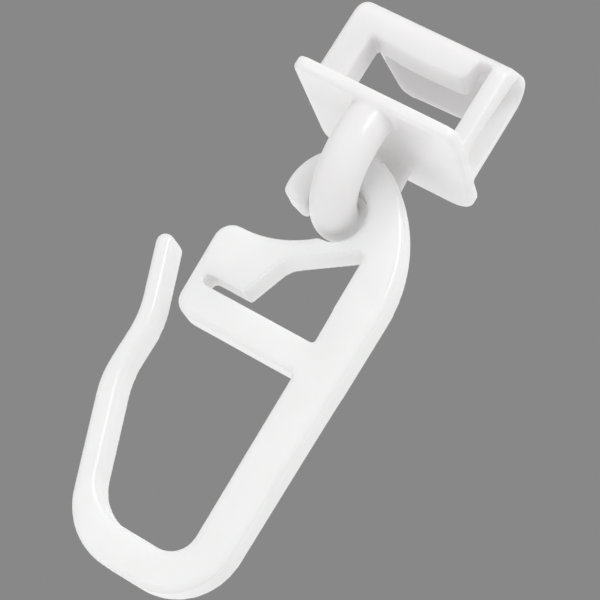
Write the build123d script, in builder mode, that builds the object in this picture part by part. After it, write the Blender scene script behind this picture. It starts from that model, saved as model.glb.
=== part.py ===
"""Curtain glider with its clip-on pleat hook, two white plastic mouldings, in millimetres.

X is across the rail, Y along the rail and Z up. The origin is on the underside of the
running plate, the face that slides on the lips of the rail, above the middle of the ring.
"""

import os
from math import cos, radians, sin, tan

from build123d import *

# Running plate
plate_length = 13.2
plate_front = 6.15
plate_back = 7.5
plate_thickness = 1.0
plate_front_corner = 1.0
plate_back_corner = 2.0
plate_edge_chamfer = 0.25

# Head: an arched hood that stands on a left and a right post
head_depth = 6.4
left_setback = 0.5
right_setback = 0.05
left_post_width = 2.35
right_post_width = 1.3
front_wall = 3.1
window_height = 4.6
window_sag = 0.3
brow_height = 2.15
crest_rise = 1.2
crest_setback = 2.4
brow_round = 1.4
crest_round = 3.0
back_round = 1.9
left_end_round = 0.8
right_end_round = 0.3

# Hollow inside the hood, with its oval mouth in the right end
skin = 0.6
leaf_thickness = 0.6
leaf_drop = 0.95
leaf_rise = 0.18
leaf_slope = 32.0
leaf_slope_reach = 4.5
leaf_bend_round = 2.5
mouth_foot_wall = 1.3
mouth_top_wall = 2.4
mouth_round = 1.4
hollow_round = 0.9
tongue_gap = 1.4
slot_height = 1.7
slot_lean = 0.35
tongue_round = 0.6

# Ring under the plate, a round wire bent in the plane along the rail
ring_radius = 4.6
ring_drop = 2.1
ring_turn = 222.0
wire_diameter = 3.4

# Hook crook, which hangs on the ring wire
hook_thickness = 2.9
hook_edge_round = 0.55
crook_shift = 0.25
seat_clearance = 0.55
crown_wall = 2.65
crown_rise = 0.64
crown_turn = 40.0
nose_reach = 27.0
nose_tip_reach = 13.7
nose_round = 0.4

# Hook shank, bend and prong
shank_inset = 3.65
shank_width = 3.3
shank_foot_width = 2.9
hook_drop = 29.35
bend_thickness = 2.9
bend_heel_round = 4.95
bend_toe_round = 5.2
throat_heel_round = 1.95
throat_toe_round = 3.5
throat_width = 10.75
prong_width = 1.35
prong_root_width = 1.62
prong_lean = 20.5
prong_knee_height = 9.3
prong_waist = 4.3
prong_finger = 6.4
prong_bend_round = 8.0

# Snap clip between the crook and the shank
arm_turn = 92.0
arm_end_drop = 4.0
arm_sag = 0.8
arm_end_round = 1.4
wall_reach = 6.85
wall_taper = 0.25
wall_foot_round = 1.3
crossbar_drop = 9.07
crossbar_height = 2.52
crossbar_root_round = 0.2
slit_gap = 0.88
slit_reach = 5.7
block_toe = 2.53
block_knee_reach = 1.3
block_knee_drop = 4.84
block_knee_round = 2.1
window_apex_drop = 1.5
window_apex_round = 0.3
window_taper = 0.2

# Places on the glider that follow from its sizes
head_left = left_setback - plate_length / 2
head_right = plate_length / 2 - right_setback
head_front = -head_depth / 2
head_back = head_depth / 2
window_left = head_left + left_post_width
window_right = head_right - right_post_width
tongue_end = window_right - tongue_gap
window_top = plate_thickness + window_height
brow_top = window_top + brow_height
crest = brow_top + crest_rise
wall_back = head_front + front_wall
leaf_front = head_back - leaf_thickness
leaf_foot = window_top - leaf_drop
leaf_bend = head_left + leaf_slope_reach
leaf_start = leaf_foot + leaf_slope_reach * tan(radians(leaf_slope))
ring_centre = -ring_drop
pivot = ring_centre - ring_radius
leg_turn = radians(180 - ring_turn / 2)
leg_plane = Plane(
    (0, 0, ring_centre), x_dir=(1, 0, 0), z_dir=(0, -cos(leg_turn), -sin(leg_turn))
)

# Places on the hook, measured from the middle of its seat
seat_radius = wire_diameter / 2 + seat_clearance
crown_radius = seat_radius + crown_wall - crown_rise
turn = radians(crown_turn)
crown_start = (crown_radius * sin(turn), crown_rise + crown_radius * cos(turn))
shank_outside = shank_inset + shank_width
shank_taper = (shank_width - shank_foot_width) / 2
shoulder_radius = (shank_outside - crown_start[0]) / (1 - sin(turn))
lean = radians(prong_lean)
throat_floor = bend_thickness - hook_drop
prong_inside = shank_inset - throat_width
knee = throat_floor + prong_knee_height
waist = knee + prong_waist
crossbar_foot = -crossbar_drop - crossbar_height
slit_top = slit_gap - crossbar_drop
hook_plane = Plane((crook_shift, 0, pivot), x_dir=(1, 0, 0), z_dir=(0, -1, 0))

# Hood before it is hollowed, one arched section along the whole head
with BuildPart() as hood:
    with BuildSketch(Plane.YZ.offset(head_left)):
        with BuildLine():
            arch = FilletPolyline(
                (head_front, plate_thickness / 2),
                (head_front, brow_top),
                (head_back - crest_setback, crest),
                (head_back, crest),
                (head_back, plate_thickness / 2),
                radius=[brow_round, crest_round, back_round],
            )
            Line(arch @ 1, arch @ 0)
        make_face()
    extrude(amount=head_right - head_left)
    ends = hood.faces().filter_by(Axis.X).sort_by(Axis.X)
    fillet(ends[0].edges().filter_by_position(Axis.Z, plate_thickness, crest), left_end_round)
    ends = hood.faces().filter_by(Axis.X).sort_by(Axis.X)
    fillet(ends[-1].edges().filter_by_position(Axis.Z, plate_thickness, crest), right_end_round)

# Ring wire with two straight legs, cut off where they end inside the plate
with BuildPart() as ring:
    with BuildSketch(leg_plane):
        with Locations((0, ring_radius)):
            Circle(wire_diameter / 2)
    revolve(axis=Axis((0, 0, ring_centre), (1, 0, 0)), revolution_arc=ring_turn)
    for leg_end in ring.faces().filter_by(GeomType.PLANE):
        extrude(leg_end, amount=wire_diameter)
    split(bisect_by=Plane.XY.offset(plate_thickness / 2), keep=Keep.BOTTOM)

# Glider: running plate, hooded head and ring in one moulding
with BuildPart() as glider:
    # Running plate, wider behind the head than in front of it
    with BuildSketch(Plane.XY):
        with BuildLine():
            FilletPolyline(
                (-plate_length / 2, -plate_front),
                (plate_length / 2, -plate_front),
                (plate_length / 2, plate_back),
                (-plate_length / 2, plate_back),
                radius=[
                    plate_front_corner,
                    plate_front_corner,
                    plate_back_corner,
                    plate_back_corner,
                ],
                close=True,
            )
        make_face()
    extrude(amount=plate_thickness)
    chamfer(glider.faces().sort_by(Axis.Z)[0].edges(), length=plate_edge_chamfer)

    # Ring below and head above
    add(ring.part)
    add(hood.part)

    # Front of the window, under the sagging edge of the brow
    with BuildSketch(Plane.XZ.offset(-wall_back)):
        with BuildLine():
            foot = Polyline(
                (window_left, window_top),
                (window_left, plate_thickness),
                (window_right, plate_thickness),
                (window_right, window_top),
            )
            ThreePointArc(
                foot @ 1,
                ((window_left + window_right) / 2, window_top - window_sag),
                foot @ 0,
            )
        make_face()
    extrude(amount=front_wall, mode=Mode.SUBTRACT)

    # Back of the window, under the leaf with its slanted left corner
    with BuildSketch(Plane.XZ.offset(-head_back)):
        with BuildLine():
            leaf_edge = FilletPolyline(
                (head_left, plate_thickness),
                (head_left, leaf_start),
                (leaf_bend, leaf_foot),
                (tongue_end, leaf_foot + leaf_rise),
                (tongue_end, plate_thickness),
                radius=[0, leaf_bend_round, 0],
            )
            Line(leaf_edge @ 1, leaf_edge @ 0)
        make_face()
    extrude(amount=head_back - wall_back, mode=Mode.SUBTRACT)

    # Slot in the brow, between the tongue's leaning end and the right post
    with BuildSketch(Plane.XZ.offset(-wall_back)):
        with BuildLine():
            Polyline(
                (tongue_end, window_top - window_sag),
                (window_right, window_top - window_sag),
                (window_right, window_top + slot_height),
                (tongue_end + slot_lean, window_top + slot_height),
                close=True,
            )
        make_face()
    extrude(amount=front_wall, mode=Mode.SUBTRACT)
    tongue_tip = (tongue_end, (head_front + wall_back) / 2, window_top - window_sag)
    fillet(glider.edges().filter_by(Axis.Y).sort_by_distance(tongue_tip)[0], tongue_round)

    # Hollow behind the brow
    with BuildSketch(Plane.YZ.offset(window_left)):
        with BuildLine():
            hollow = FilletPolyline(
                (wall_back, plate_thickness),
                (wall_back, crest - skin),
                (leaf_front, crest - skin),
                (leaf_front, plate_thickness),
                radius=hollow_round,
            )
            Line(hollow @ 1, hollow @ 0)
        make_face()
    extrude(amount=tongue_end - window_left, mode=Mode.SUBTRACT)

    # Oval mouth of the hollow, open at the right end
    with BuildSketch(Plane.YZ.offset(tongue_end)):
        with BuildLine():
            FilletPolyline(
                (head_front + mouth_foot_wall, plate_thickness),
                (head_front + mouth_top_wall, crest - skin),
                (leaf_front, crest - skin),
                (leaf_front, plate_thickness),
                radius=mouth_round,
                close=True,
            )
        make_face()
    extrude(amount=head_right - tongue_end, mode=Mode.SUBTRACT)

# Hook: crook, shank, bend, prong and snap clip in one moulding
with BuildPart() as hook:
    with BuildSketch(hook_plane) as outline:
        # Crook, shank, bend and prong
        with BuildLine():
            shoulder = JernArc(
                crown_start, (cos(turn), -sin(turn)), shoulder_radius, crown_turn - 90
            )
            finger_end = (
                prong_inside - prong_finger * sin(lean),
                waist + prong_finger * cos(lean),
            )
            knee_slip = (prong_root_width * cos(lean) - prong_width) / sin(lean)
            toe_slip = (knee + hook_drop - prong_root_width * sin(lean)) / cos(lean)
            bow = FilletPolyline(
                shoulder @ 1,
                (shank_outside - shank_taper, -hook_drop),
                (
                    prong_inside + toe_slip * sin(lean) - prong_root_width * cos(lean),
                    -hook_drop,
                ),
                (
                    prong_inside - prong_width,
                    knee - knee_slip * cos(lean) - prong_root_width * sin(lean),
                ),
                (prong_inside - prong_width, waist - prong_width * tan(lean / 2)),
                (
                    finger_end[0] - prong_width * cos(lean),
                    finger_end[1] - prong_width * sin(lean),
                ),
                finger_end,
                (prong_inside, waist),
                (prong_inside, knee),
                (prong_inside + prong_knee_height * tan(lean), throat_floor),
                (shank_inset + shank_taper, throat_floor),
                (shank_inset, -crossbar_drop),
                radius=[
                    bend_heel_round,
                    bend_toe_round,
                    prong_bend_round,
                    prong_bend_round,
                    0.48 * prong_width,
                    0.48 * prong_width,
                    prong_bend_round,
                    prong_bend_round,
                    throat_toe_round,
                    throat_heel_round,
                ],
            )
            seat = CenterArc((0, 0), seat_radius, -arm_turn, 180 + nose_reach + arm_turn)
            Line(bow @ 1, seat @ 0)
            crown = CenterArc(
                (0, crown_rise),
                crown_radius,
                90 - crown_turn,
                90 + crown_turn + nose_tip_reach,
            )
            Line(seat @ 1, crown @ 1)
        make_face()

        # Snap clip, a block that fills the corner up to the shank
        with BuildLine():
            arm_end = Vector(-wall_reach, -arm_end_drop)
            arm_middle = (seat @ 0 + arm_end) / 2
            arm = ThreePointArc(seat @ 0, arm_middle - Vector(0, arm_sag), arm_end)
            Polyline(
                arm @ 1,
                (wall_taper - wall_reach, crossbar_foot),
                (shank_inset + shank_width / 2, crossbar_foot),
                (shank_inset + shank_width / 2, -window_apex_drop),
                seat @ 0,
            )
        make_face()
        corners = outline.vertices()
        fillet(corners.sort_by_distance(arm @ 1)[0], radius=arm_end_round)
        corners = outline.vertices()
        wall_foot = (wall_taper - wall_reach, crossbar_foot)
        fillet(corners.sort_by_distance(wall_foot)[0], radius=wall_foot_round)
        corners = outline.vertices()
        fillet(corners.sort_by_distance(crown @ 1)[0], radius=nose_round)
        corners = outline.vertices()
        fillet(corners.sort_by_distance(seat @ 1)[0], radius=nose_round)
        corners = outline.vertices()
        crossbar_root = (shank_inset + shank_taper / 2, crossbar_foot)
        fillet(corners.sort_by_distance(crossbar_root)[0], radius=crossbar_root_round)
    extrude(amount=hook_thickness / 2, both=True)
    fillet(hook.faces().sort_by(Axis.Y)[0].edges(), radius=hook_edge_round)

    # Window and slit that free the clip's arm
    with BuildSketch(hook_plane):
        with BuildLine():
            FilletPolyline(
                (shank_inset + window_taper, -crossbar_drop),
                (shank_inset, -window_apex_drop),
                (-block_knee_reach, -block_knee_drop),
                (-block_toe, slit_top),
                (-slit_reach, slit_top),
                (-slit_reach, -crossbar_drop),
                radius=[
                    0,
                    window_apex_round,
                    block_knee_round,
                    0,
                    0.48 * slit_gap,
                    0.48 * slit_gap,
                ],
                close=True,
            )
        make_face()
    extrude(amount=hook_thickness / 2, both=True, mode=Mode.SUBTRACT)

os.makedirs("parts", exist_ok=True)

glider.part.label = "glider"
hook.part.label = "hook"
export_step(glider.part, "parts/glider.step")
export_step(hook.part, "parts/hook.step")
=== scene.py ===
"""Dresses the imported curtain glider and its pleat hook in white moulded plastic."""

from math import cos, hypot, radians, sin

import bpy
from mathutils import Matrix, Vector


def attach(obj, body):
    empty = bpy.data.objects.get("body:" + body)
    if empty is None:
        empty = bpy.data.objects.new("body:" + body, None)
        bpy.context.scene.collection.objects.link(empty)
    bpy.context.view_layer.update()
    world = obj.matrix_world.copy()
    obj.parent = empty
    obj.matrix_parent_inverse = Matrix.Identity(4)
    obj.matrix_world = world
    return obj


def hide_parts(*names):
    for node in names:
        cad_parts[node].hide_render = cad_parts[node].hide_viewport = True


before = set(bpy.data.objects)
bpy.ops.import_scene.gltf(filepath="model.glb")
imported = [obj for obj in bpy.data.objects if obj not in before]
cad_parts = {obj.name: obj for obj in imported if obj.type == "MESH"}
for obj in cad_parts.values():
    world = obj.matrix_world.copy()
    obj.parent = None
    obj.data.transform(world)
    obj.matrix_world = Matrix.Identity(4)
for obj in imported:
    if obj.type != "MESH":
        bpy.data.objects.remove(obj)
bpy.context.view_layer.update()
MM = 0.001

# Moulded skins: grain of the new mesh, and how far its edges are softened
MERGE_DISTANCE = 0.001 * MM
SKIN_GRAIN = {"glider": 0.12 * MM, "hook": 0.13 * MM}
SKIN_PASSES = {"glider": 5, "hook": 4}
SKIN_EASE = 0.5

# Blends where the ring's legs run into the plate: middle of a leg, reach, depth and passes
LEG_MIDDLE = 4.1 * MM
ROOT_REACH = 2.7 * MM
ROOT_DEPTH = 1.0 * MM
ROOT_PASSES = 40

# Rounding of the back rim of the hook's seat, which turns close inside the ring
SEAT_MIDDLE = (0.25 * MM, -6.7 * MM)
SEAT_RADIUS = 2.25 * MM
HOOK_BACK = 1.45 * MM
RIM_REACH = 0.9 * MM
RIM_PASSES = 16

# White plastic: the scale and detail of each pattern, and how far it changes the surface
PLASTIC_IOR = 1.5
DEPTH_BY_COLOUR = (1.0, 0.95, 0.92)
CLOUDS = (260, 4)
CLOUD_TONES = (0.94, 1.03)
SHEEN_MARKS = (320, 2)
FINE_GRAIN = (2600, 3)
GRAIN_STRENGTH = 0.04
GRAIN_HEIGHT = 0.01 * MM

# Photo camera, fitted to the outline: where the eye stands and how the picture leans
EYE_AZIMUTH = radians(19.186)
EYE_ELEVATION = radians(-10.213)
EYE_ROLL = radians(31.828)
EYE_DISTANCE = 141.677 * MM
EYE_RIGHT = -5.950 * MM
EYE_UP = -11.605 * MM
LENS = 118.843
SENSOR = 36.0
NEAREST_SEEN = 1 * MM
FURTHEST_SEEN = 10.0

# Floor and backdrop: greys for the light that they give and for what is seen of them
FLOOR_LEVEL = -260 * MM
FLOOR_SIZE = 2.0
FLOOR_GREY = 0.9
FLOOR_SEEN_GREY = 0.42
FLOOR_ROUGHNESS = 0.9
BACKDROP_GREY = 0.246

# Light tent: its level, and the dim opening, which fades between two cosines from its middle
TENT_LEVEL = 0.8
OPENING_AZIMUTH = radians(40)
OPENING_ELEVATION = radians(-8)
OPENING_FADE = (0.62, 0.97)
OPENING_LEVEL = 0.1


def select_only(piece):
    bpy.ops.object.select_all(action="DESELECT")
    piece.select_set(True)
    bpy.context.view_layer.objects.active = piece


def apply_modifier(piece, name, kind, **settings):
    modifier = piece.modifiers.new(name, kind)
    for key, value in settings.items():
        setattr(modifier, key, value)
    select_only(piece)
    bpy.ops.object.modifier_apply(modifier=name)


def moulded_skin(node, body):
    """A copy of a CAD moulding with an even, fine mesh and softened edges."""
    skin = bpy.data.objects.new(node + "_moulding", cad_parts[node].data.copy())
    bpy.context.scene.collection.objects.link(skin)
    select_only(skin)
    bpy.ops.object.mode_set(mode="EDIT")
    bpy.ops.mesh.select_all(action="SELECT")
    bpy.ops.mesh.remove_doubles(threshold=MERGE_DISTANCE)
    bpy.ops.object.mode_set(mode="OBJECT")
    apply_modifier(skin, "grain", "REMESH", mode="VOXEL", voxel_size=SKIN_GRAIN[node])
    apply_modifier(
        skin, "ease", "SMOOTH", factor=SKIN_EASE, iterations=SKIN_PASSES[node]
    )
    select_only(skin)
    bpy.ops.object.shade_smooth()
    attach(skin, body)
    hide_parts(node)
    return skin


def ring_root(x, y, z):
    """1 in the middle of a leg of the ring, where it meets the plate, and 0 at its reach."""
    reach = hypot(x, abs(y) - LEG_MIDDLE)
    return 1 - max(reach / ROOT_REACH, abs(z) / ROOT_DEPTH)


def seat_rim(x, y, z):
    """1 on the back rim of the hook's seat, and 0 at its reach."""
    outside = hypot(x - SEAT_MIDDLE[0], z - SEAT_MIDDLE[1]) - SEAT_RADIUS
    return 1 - hypot(outside, y - HOOK_BACK) / RIM_REACH


def soften(skin, name, nearness, passes):
    """Round a skin further where its nearness is above 0, and fully where it is above a half."""
    patch = skin.vertex_groups.new(name=name)
    for corner in skin.data.vertices:
        share = nearness(*corner.co)
        if share > 0:
            patch.add([corner.index], min(1, 2 * share), "REPLACE")
    apply_modifier(
        skin, name, "SMOOTH", factor=SKIN_EASE, iterations=passes, vertex_group=name
    )
    skin.vertex_groups.clear()


def link(tree, source, target):
    tree.links.new(source, target)


def add_noise(tree, pattern):
    """A noise that stays on the piece, with the scale and detail of its pattern."""
    place = tree.nodes.new("ShaderNodeTexCoord")
    noise = tree.nodes.new("ShaderNodeTexNoise")
    noise.inputs["Scale"].default_value = pattern[0]
    noise.inputs["Detail"].default_value = pattern[1]
    link(tree, place.outputs["Object"], noise.inputs["Vector"])
    return noise.outputs["Fac"]


def white_plastic(name, tint, depth, roughness):
    """White moulded plastic that light enters, with faint clouds, uneven gloss and fine grain."""
    plastic = bpy.data.materials.new(name)
    plastic.use_nodes = True
    tree = plastic.node_tree
    shader = tree.nodes["Principled BSDF"]
    shader.inputs["IOR"].default_value = PLASTIC_IOR
    shader.inputs["Subsurface Weight"].default_value = 1.0
    shader.inputs["Subsurface Radius"].default_value = DEPTH_BY_COLOUR
    shader.inputs["Subsurface Scale"].default_value = depth

    tone = tree.nodes.new("ShaderNodeValToRGB")
    for stop, share in zip(tone.color_ramp.elements, CLOUD_TONES):
        stop.color = (*[channel * share for channel in tint], 1)
    link(tree, add_noise(tree, CLOUDS), tone.inputs["Fac"])
    link(tree, tone.outputs["Color"], shader.inputs["Base Color"])

    gloss = tree.nodes.new("ShaderNodeMapRange")
    gloss.inputs["To Min"].default_value = roughness[0]
    gloss.inputs["To Max"].default_value = roughness[1]
    link(tree, add_noise(tree, SHEEN_MARKS), gloss.inputs["Value"])
    link(tree, gloss.outputs["Result"], shader.inputs["Roughness"])

    relief = tree.nodes.new("ShaderNodeBump")
    relief.inputs["Strength"].default_value = GRAIN_STRENGTH
    relief.inputs["Distance"].default_value = GRAIN_HEIGHT
    link(tree, add_noise(tree, FINE_GRAIN), relief.inputs["Height"])
    link(tree, relief.outputs["Normal"], shader.inputs["Normal"])
    return plastic


def seen_rays(tree):
    """1 for rays that show a thing to the camera, straight on or in gloss, and 0 for light."""
    ray = tree.nodes.new("ShaderNodeLightPath")
    straight = tree.nodes.new("ShaderNodeMath")
    straight.operation = "ADD"
    link(tree, ray.outputs["Is Camera Ray"], straight.inputs[0])
    link(tree, ray.outputs["Is Glossy Ray"], straight.inputs[1])
    seen = tree.nodes.new("ShaderNodeMath")
    seen.operation = "ADD"
    seen.use_clamp = True
    link(tree, straight.outputs["Value"], seen.inputs[0])
    link(tree, ray.outputs["Is Transmission Ray"], seen.inputs[1])
    return seen.outputs["Value"]


def floor_paint():
    """A white floor for the light that it throws back, and a grey one to look at."""
    paint = bpy.data.materials.new("floor_paint")
    paint.use_nodes = True
    tree = paint.node_tree
    shader = tree.nodes["Principled BSDF"]
    shader.inputs["Roughness"].default_value = FLOOR_ROUGHNESS
    shader.inputs["Specular IOR Level"].default_value = 0.0
    grey = tree.nodes.new("ShaderNodeMix")
    grey.data_type = "FLOAT"
    grey.inputs["A"].default_value = FLOOR_GREY
    grey.inputs["B"].default_value = FLOOR_SEEN_GREY
    link(tree, seen_rays(tree), grey.inputs["Factor"])
    link(tree, grey.outputs["Result"], shader.inputs["Base Color"])
    return paint


def add_floor():
    bpy.ops.mesh.primitive_plane_add(size=FLOOR_SIZE, location=(0, 0, FLOOR_LEVEL))
    floor = bpy.context.object
    floor.name = "floor"
    floor.data.materials.append(floor_paint())


def direction(azimuth, elevation):
    """From the object towards a place round it; azimuth 0 is the front, 90 degrees the right."""
    return Vector(
        (sin(azimuth) * cos(elevation), -cos(azimuth) * cos(elevation), sin(elevation))
    )


def add_world():
    """A white light tent with a dim opening in front, and a grey backdrop to look at."""
    world = bpy.data.worlds.new("studio")
    bpy.context.scene.world = world
    world.use_nodes = True
    tree = world.node_tree
    place = tree.nodes.new("ShaderNodeTexCoord")
    facing = tree.nodes.new("ShaderNodeVectorMath")
    facing.operation = "DOT_PRODUCT"
    facing.inputs[1].default_value = direction(OPENING_AZIMUTH, OPENING_ELEVATION)
    link(tree, place.outputs["Generated"], facing.inputs[0])
    level = tree.nodes.new("ShaderNodeMapRange")
    level.interpolation_type = "SMOOTHSTEP"
    level.inputs["From Min"].default_value = OPENING_FADE[0]
    level.inputs["From Max"].default_value = OPENING_FADE[1]
    level.inputs["To Min"].default_value = TENT_LEVEL
    level.inputs["To Max"].default_value = OPENING_LEVEL
    link(tree, facing.outputs["Value"], level.inputs["Value"])
    tent = tree.nodes["Background"]
    tent.inputs["Color"].default_value = (1, 1, 1, 1)
    link(tree, level.outputs["Result"], tent.inputs["Strength"])
    backdrop = tree.nodes.new("ShaderNodeBackground")
    backdrop.inputs["Color"].default_value = (BACKDROP_GREY,) * 3 + (1,)
    pick = tree.nodes.new("ShaderNodeMixShader")
    link(tree, seen_rays(tree), pick.inputs["Fac"])
    link(tree, tent.outputs["Background"], pick.inputs[1])
    link(tree, backdrop.outputs["Background"], pick.inputs[2])
    link(tree, pick.outputs["Shader"], tree.nodes["World Output"].inputs["Surface"])


def add_lamp(name, place_mm, aim_mm, size_mm, power, lights, shines):
    """A soft box of a given width and height, which lights, or shines in the gloss, or both."""
    lamp = bpy.data.lights.new(name, "AREA")
    lamp.shape = "RECTANGLE"
    lamp.size = size_mm[0] * MM
    lamp.size_y = size_mm[1] * MM
    lamp.energy = power
    holder = bpy.data.objects.new(name, lamp)
    bpy.context.scene.collection.objects.link(holder)
    holder.location = Vector(place_mm) * MM
    aim = Vector(aim_mm) * MM - holder.location
    holder.rotation_euler = aim.to_track_quat("-Z", "Y").to_euler()
    holder.visible_camera = False
    holder.visible_diffuse = lights
    holder.visible_glossy = shines


def add_camera():
    back = direction(EYE_AZIMUTH, EYE_ELEVATION)
    level = Vector((cos(EYE_AZIMUTH), sin(EYE_AZIMUTH), 0))
    upright = back.cross(level)
    right = level * cos(EYE_ROLL) + upright * sin(EYE_ROLL)
    up = upright * cos(EYE_ROLL) - level * sin(EYE_ROLL)
    lens = bpy.data.cameras.new("photo_camera")
    lens.lens = LENS
    lens.sensor_width = SENSOR
    lens.clip_start = NEAREST_SEEN
    lens.clip_end = FURTHEST_SEEN
    camera = bpy.data.objects.new("photo_camera", lens)
    bpy.context.scene.collection.objects.link(camera)
    eye = back * EYE_DISTANCE + right * EYE_RIGHT + up * EYE_UP
    turn = Matrix((right, up, back)).transposed().to_4x4()
    camera.matrix_world = Matrix.Translation(eye) @ turn
    bpy.context.scene.camera = camera


# The two mouldings
glider_skin = moulded_skin("glider", "glider")
soften(glider_skin, "ring_roots", ring_root, ROOT_PASSES)
hook_skin = moulded_skin("hook", "hook")
soften(hook_skin, "seat_rim", seat_rim, RIM_PASSES)
glider_white = white_plastic(
    "glider_white_plastic",
    tint=(0.885, 0.878, 0.881),
    depth=1.6 * MM,
    roughness=(0.28, 0.31),
)
hook_white = white_plastic(
    "hook_white_plastic",
    tint=(0.885, 0.883, 0.883),
    depth=3.0 * MM,
    roughness=(0.18, 0.26),
)
for skin, finish, slot in (
    (glider_skin, glider_white, "glider_plastic"),
    (hook_skin, hook_white, "hook_plastic"),
):
    skin.data.materials.clear()
    skin.data.materials.append(finish)

# Studio: a strip of key light, a weak lamp from below and a bright sheet for the gloss alone
add_floor()
add_world()
add_lamp(
    "key_lamp",
    place_mm=(128, -240, 200),
    aim_mm=(0, 0, -8),
    size_mm=(36, 260),
    power=0.45,
    lights=True,
    shines=True,
)
add_lamp(
    "low_lamp",
    place_mm=(0, -120, -230),
    aim_mm=(0, 0, -12),
    size_mm=(200, 200),
    power=0.12,
    lights=True,
    shines=False,
)
add_lamp(
    "back_sheet",
    place_mm=(0, 400, -10),
    aim_mm=(0, 0, -10),
    size_mm=(900, 700),
    power=1.35,
    lights=False,
    shines=True,
)
add_camera()
bpy.context.scene.view_settings.view_transform = "Standard"
